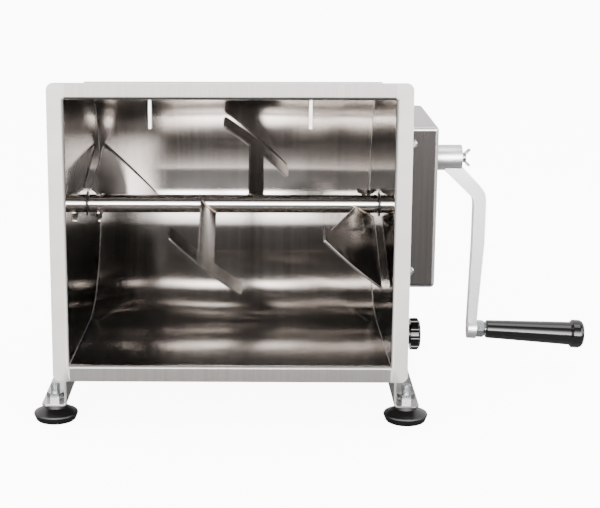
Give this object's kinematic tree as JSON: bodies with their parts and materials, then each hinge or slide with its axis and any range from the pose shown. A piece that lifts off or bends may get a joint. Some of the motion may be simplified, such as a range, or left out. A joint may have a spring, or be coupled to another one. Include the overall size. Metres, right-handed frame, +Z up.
{
  "type": "hand-crank meat mixer",
  "caption": "Tilting U-shaped steel tank between two sheet stands, with pitched paddles on a shaft turned through a gear pair by a hand crank.",
  "frame": {"origin": "on the floor, straight below the middle of the paddle shaft, half way between the tank's end walls", "axes": "+X along the paddle shaft towards the crank, +Y away from the open side of the tipped tank, +Z up from the floor"},
  "size_m": [0.6583, 0.4186, 0.3835],
  "materials": {
    "tank_steel": "fine brushed, semi-bright",
    "stand_steel": "brushed",
    "cover_steel": "brushed",
    "turned_steel": "turned, semi-bright",
    "paddle_steel": "brushed plate",
    "gear_steel": "machined",
    "spring_steel": "bright wire",
    "zinc_fasteners": "bright zinc plated",
    "cast_aluminium": "die cast, tumbled",
    "bronze": "sintered, oiled",
    "nylon": "natural",
    "grip_plastic": "gloss black",
    "knob_plastic": "gloss black",
    "foot_rubber": "moulded, matte black",
    "seal_rubber": "matte"
  },
  "bodies": {
    "frame": {"stand_left": "stand_steel", "stand_right": "stand_steel", "pivot_bushes": "nylon", "rear_tie": "stand_steel", "tie_bolts": "zinc_fasteners", "tie_nuts": "zinc_fasteners", "foot_pad_front_left": "foot_rubber", "foot_pad_front_right": "foot_rubber", "foot_pad_rear_left": "foot_rubber", "foot_pad_rear_right": "foot_rubber", "foot_studs": "zinc_fasteners", "foot_nuts": "zinc_fasteners", "gear_plate": "gear_steel", "gear_plate_screws": "zinc_fasteners", "standoffs": "gear_steel", "bearing_plate": "gear_steel", "bearing_plate_screws": "zinc_fasteners", "drive_bush": "bronze", "crank_bushes": "bronze", "gearbox_cover": "cover_steel", "cover_screws": "zinc_fasteners", "lock_barrel": "zinc_fasteners", "lock_spring": "spring_steel"},
    "tank": {"tank_shell": "tank_steel", "tank_end_left": "tank_steel", "tank_end_right": "tank_steel", "tank_hub_left": "turned_steel", "tank_hub_right": "turned_steel", "shaft_bushes": "bronze", "shaft_seals": "seal_rubber", "lid_tabs": "tank_steel", "lock_lug": "tank_steel"},
    "agitator": {"drive_gear": "gear_steel", "drive_key": "gear_steel", "drive_stub": "turned_steel", "idle_stub": "turned_steel", "retaining_ring": "spring_steel", "paddle_shaft": "turned_steel", "paddle_end_left": "paddle_steel", "paddle_t_left": "paddle_steel", "paddle_t_right": "paddle_steel", "paddle_end_right": "paddle_steel", "wing_screws": "turned_steel"},
    "crank": {"crank_shaft": "turned_steel", "pinion": "gear_steel", "pinion_key": "gear_steel", "crank_arm": "cast_aluminium", "crank_wing_nut": "zinc_fasteners", "grip_bolt": "zinc_fasteners", "grip_nut": "zinc_fasteners"},
    "grip": {"grip": "grip_plastic"},
    "lock_plunger": {"lock_pin": "turned_steel", "lock_knob": "knob_plastic"}
  },
  "joints": [
    {"name": "tank_tilt", "type": "hinge", "parent": "frame", "child": "tank", "pos_m": [0, 0, 0.211], "axis": [1, 0, 0], "range_deg": [-88, 0]},
    {"name": "paddle_spin", "type": "hinge", "parent": "frame", "child": "agitator", "pos_m": [0, 0, 0.211], "axis": [1, 0, 0], "continuous": true},
    {"name": "crank_spin", "type": "hinge", "parent": "frame", "child": "crank", "pos_m": [0.258, 0, 0.269], "axis": [1, 0, 0], "continuous": true},
    {"name": "grip_spin", "type": "hinge", "parent": "crank", "child": "grip", "pos_m": [0.30165, 0, 0.0533], "axis": [0.9986, 0, -0.0523], "continuous": true},
    {"name": "lock_slide", "type": "slide", "parent": "frame", "child": "lock_plunger", "axis": [1, 0, 0], "range_m": [-0.0096, 0]}
  ],
  "couplings": [
    {"joint": "crank_spin", "follows": "paddle_spin", "ratio": -2.2222}
  ]
}
